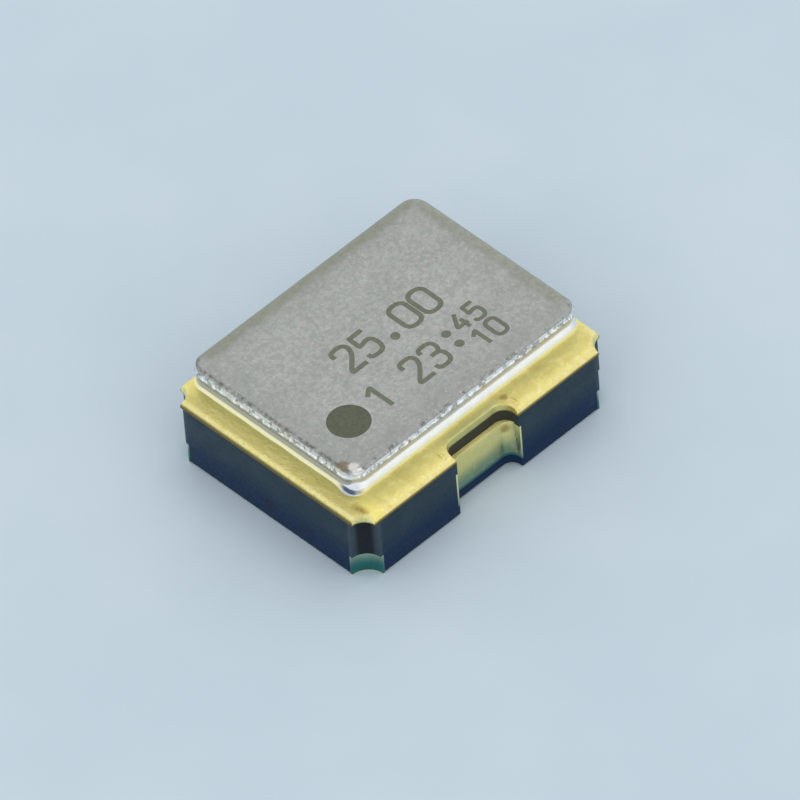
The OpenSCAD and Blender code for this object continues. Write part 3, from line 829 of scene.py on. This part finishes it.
# Numbers: text, place of its lower left corner, size of a digit, pitch, and width of stroke
LINES = (("25", (-0.262, 0.018), (0.112, 0.205), 0.154, 0.031),
         ("00", (0.199, 0.018), (0.12, 0.205), 0.157, 0.031),
         ("1", (-0.36, -0.335), (0.115, 0.2), 0.154, 0.03),
         ("23", (-0.058, -0.335), (0.108, 0.2), 0.154, 0.03),
         ("45", (0.392, -0.225), (0.08, 0.14), 0.118, 0.027),
         ("10", (0.392, -0.405), (0.08, 0.14), 0.118, 0.027))
# Points between the numbers, and the dot
POINTS = ((0.103, 0.043), (0.31, -0.165), (0.31, -0.275))
POINT_R = 0.03
DOT = (-0.556, -0.24)
DOT_R = 0.132


def rounded(path, closed):
    """The path with its corners cut three times over."""
    for _ in range(3):
        count = len(path)
        ends = [(path[k], path[(k + 1) % count]) for k in range(count if closed else count - 1)]
        cut = []
        for a, b in ends:
            cut += [(a[0] * 0.75 + b[0] * 0.25, a[1] * 0.75 + b[1] * 0.25),
                    (a[0] * 0.25 + b[0] * 0.75, a[1] * 0.25 + b[1] * 0.75)]
        path = cut if closed else [path[0]] + cut[1:-1] + [path[-1]]
    return path


def ribbon(path, width, closed):
    """Triangles in plan, counterclockwise, that make a line along a path."""
    sides = []
    count = len(path)
    for k, here in enumerate(path):
        before = path[k - 1] if closed or k else here
        after = path[(k + 1) % count] if closed or k < count - 1 else here
        along = (Vector(after) - Vector(before)).normalized()
        side = Vector((-along.y, along.x)) * width / 2
        sides.append((Vector(here) + side, Vector(here) - side))
    made = []
    for k in range(count if closed else count - 1):
        (a, b), (d, c) = sides[k], sides[(k + 1) % count]
        for corners in ((a, b, c), (a, c, d)):
            turn = (corners[1] - corners[0]).cross(corners[2] - corners[0])
            if abs(turn) > 1e-9:
                made.append(corners if turn > 0 else corners[::-1])
    return made


def number_shapes():
    """Overlapping shapes in plan that make up the numbers and their points."""
    shapes = []
    for text, place, size, pitch, width in LINES:
        for n, digit in enumerate(text):
            for path, closed in DIGITS[digit]:
                path = [(place[0] + n * pitch + x * size[0], place[1] + y * size[1]) for x, y in path]
                shapes += ribbon(rounded(path, closed), width, closed)
    for place in POINTS:
        shapes.append([Vector(p) for p in arc(place, POINT_R, 0, 360, 25)[:-1]])
    return shapes


def build_marking(ink, dot_ink):
    """The numbers and the dot, each one thin piece just over the flat of the lid."""
    z = LID_HIGH.z - TOP_SINK + MARK_LIFT
    plan, loops = [], []
    for shape in number_shapes():
        loops.append(list(range(len(plan), len(plan) + len(shape))))
        plan += shape
    # The shapes overlap, so they are made one
    found = geometry.delaunay_2d_cdt(plan, [], loops, 1, 1e-6)
    faces = [face for face, origin in zip(found[2], found[5]) if origin]
    digits = mesh_piece("marking_digits", raise_to(found[0], z), faces, ink, smooth=False)
    rim = raise_to(arc(DOT, DOT_R, 0, 360, 97)[:-1], z)
    dot = mesh_piece("marking_dot", rim, [tuple(range(len(rim)))], dot_ink, smooth=False)
    return digits, dot


# ---- Studio ----

def build_camera():
    """The view of the photo, from far off."""
    a, e = math.radians(AZIMUTH), math.radians(ELEVATION)
    back = Vector((math.sin(a) * math.cos(e), -math.cos(a) * math.cos(e), math.sin(e)))
    data = bpy.data.cameras.new("camera")
    data.sensor_width = SENSOR
    data.lens = SENSOR * DISTANCE / VIEW_WIDTH
    data.clip_start, data.clip_end = 0.001, 10.0
    camera = add_object("camera", data)
    camera.rotation_mode = "QUATERNION"
    level = (-back).to_track_quat("-Z", "Y")
    camera.rotation_quaternion = level @ Matrix.Rotation(math.radians(ROLL), 3, "Z").to_quaternion()
    camera.location = (AIM + back * DISTANCE) * MM
    bpy.context.scene.camera = camera


def build_floor():
    """Plain pale floor, 1 m wide."""
    g = Graph("floor", roughness=0.9)
    cloud = g.noise(0.6, 3.0)
    g.finish(base_color=g.mix(g.fade(cloud, 0.3, 0.7), rgb(208, 224, 236), rgb(214, 229, 240)))
    bpy.ops.mesh.primitive_plane_add(size=1.0)
    floor = bpy.context.object
    floor.name = "floor"
    floor.data.materials.append(g.material)


def build_world():
    """Even studio light, a little stronger from the sides."""
    world = bpy.data.worlds.new("studio")
    bpy.context.scene.world = world
    world.use_nodes = True
    nodes, links = world.node_tree.nodes, world.node_tree.links
    back = nodes["Background"]
    back.inputs["Color"].default_value = (0.97, 0.99, 1.0, 1.0)
    place = nodes.new("ShaderNodeTexCoord")
    split = nodes.new("ShaderNodeSeparateXYZ")
    rise = nodes.new("ShaderNodeMapRange")
    rise.interpolation_type = "SMOOTHSTEP"
    for key, value in (("From Min", 0.2), ("From Max", 0.65), ("To Min", 1.0), ("To Max", 0.8)):
        rise.inputs[key].default_value = value
    links.new(place.outputs["Generated"], split.inputs[0])
    links.new(split.outputs["Z"], rise.inputs["Value"])
    links.new(rise.outputs[0], back.inputs["Strength"])


def build_lamp():
    """Soft round lamp that points at the part."""
    data = bpy.data.lights.new("overhead", "AREA")
    data.shape = "DISK"
    data.size = LAMP_SIZE * MM
    data.energy = LAMP_POWER
    lamp = add_object("overhead", data)
    lamp.location = LAMP_PLACE * MM
    lamp.rotation_mode = "QUATERNION"
    lamp.rotation_quaternion = (-LAMP_PLACE).to_track_quat("-Z", "Y")


# ---- The whole ----

def dress_nodes(materials):
    """Gives each CAD node its material."""
    slots = {s["node"]: s["material_slot"] for s in frame["record"]["subparts"]}
    for node, piece in frame["nodes"].items():
        piece.data.materials.clear()
        piece.data.materials.append(materials[slots[node]])


def make_materials():
    """The material of each slot, by the slot's name."""
    return {
        "ceramic": ceramic(), "ring_gold": ring_gold(), "plating_gold": plating_gold(),
        "braze_silver": braze_silver(), "lid_metal": lid_metal(), "quartz": quartz(),
        "electrode_gold": plain_metal("electrode_gold", rgb(214, 186, 104), rgb(232, 206, 126), 0.12),
        "adhesive": adhesive(),
        "tungsten": plain_metal("tungsten", rgb(112, 112, 116), rgb(140, 140, 144), 0.45),
        "silicon": silicon(),
        "bump_gold": plain_metal("bump_gold", rgb(212, 178, 92), rgb(236, 206, 120), 0.25, 60.0)}


def main():
    bpy.context.scene.view_settings.view_transform = "Standard"
    materials = make_materials()
    dress_nodes(materials)
    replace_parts(build_ring(materials["ring_gold"]), "seal_ring")
    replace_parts(build_lid(materials["lid_metal"]), "lid")
    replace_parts(build_braze(materials["braze_silver"]), "braze_frame")
    for node in ("side_contact_front", "side_contact_back"):
        softened(node, CONTACT_SOFT, materials["plating_gold"])
    softened("ceramic_package", PACK_SOFT, materials["ceramic"])
    for piece in build_marking(marking("digit_ink", 112), marking("dot_ink", 92)):
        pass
    build_camera()
    build_floor()
    build_world()
    build_lamp()


main()
